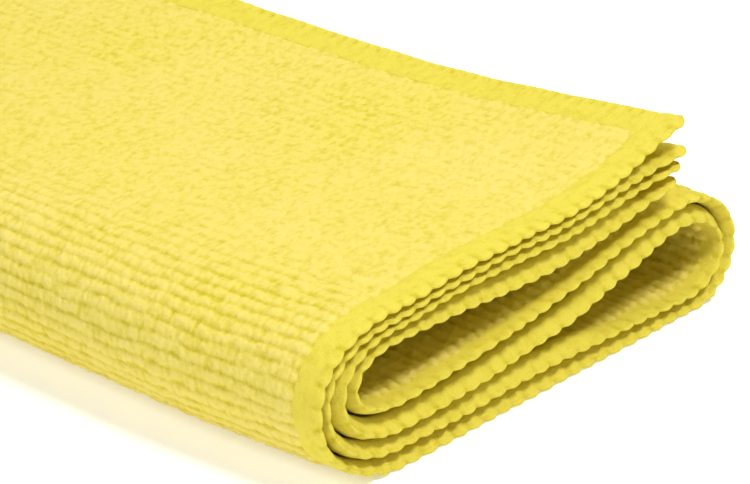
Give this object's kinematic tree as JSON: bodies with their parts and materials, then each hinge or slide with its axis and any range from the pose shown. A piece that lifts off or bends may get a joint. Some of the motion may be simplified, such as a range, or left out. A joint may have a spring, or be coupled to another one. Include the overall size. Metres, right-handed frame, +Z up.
{
  "type": "folded microfibre cleaning cloth",
  "caption": "Square microfibre cleaning cloth with scalloped stitched edges, folded into a flat bundle of layers with a rounded front fold.",
  "frame": {"origin": "middle of the bundle's plan outline, on the surface that it lies on", "axes": "+X along the folds towards the end that shows the layers' edges, +Y from the rounded front fold to the back with the free edges, +Z up"},
  "size_m": [0.2, 0.1032, 0.0374],
  "materials": {
    "cloth": "matt looped pile"
  },
  "bodies": {
    "root": {"cloth": "cloth"}
  },
  "joints": []
}
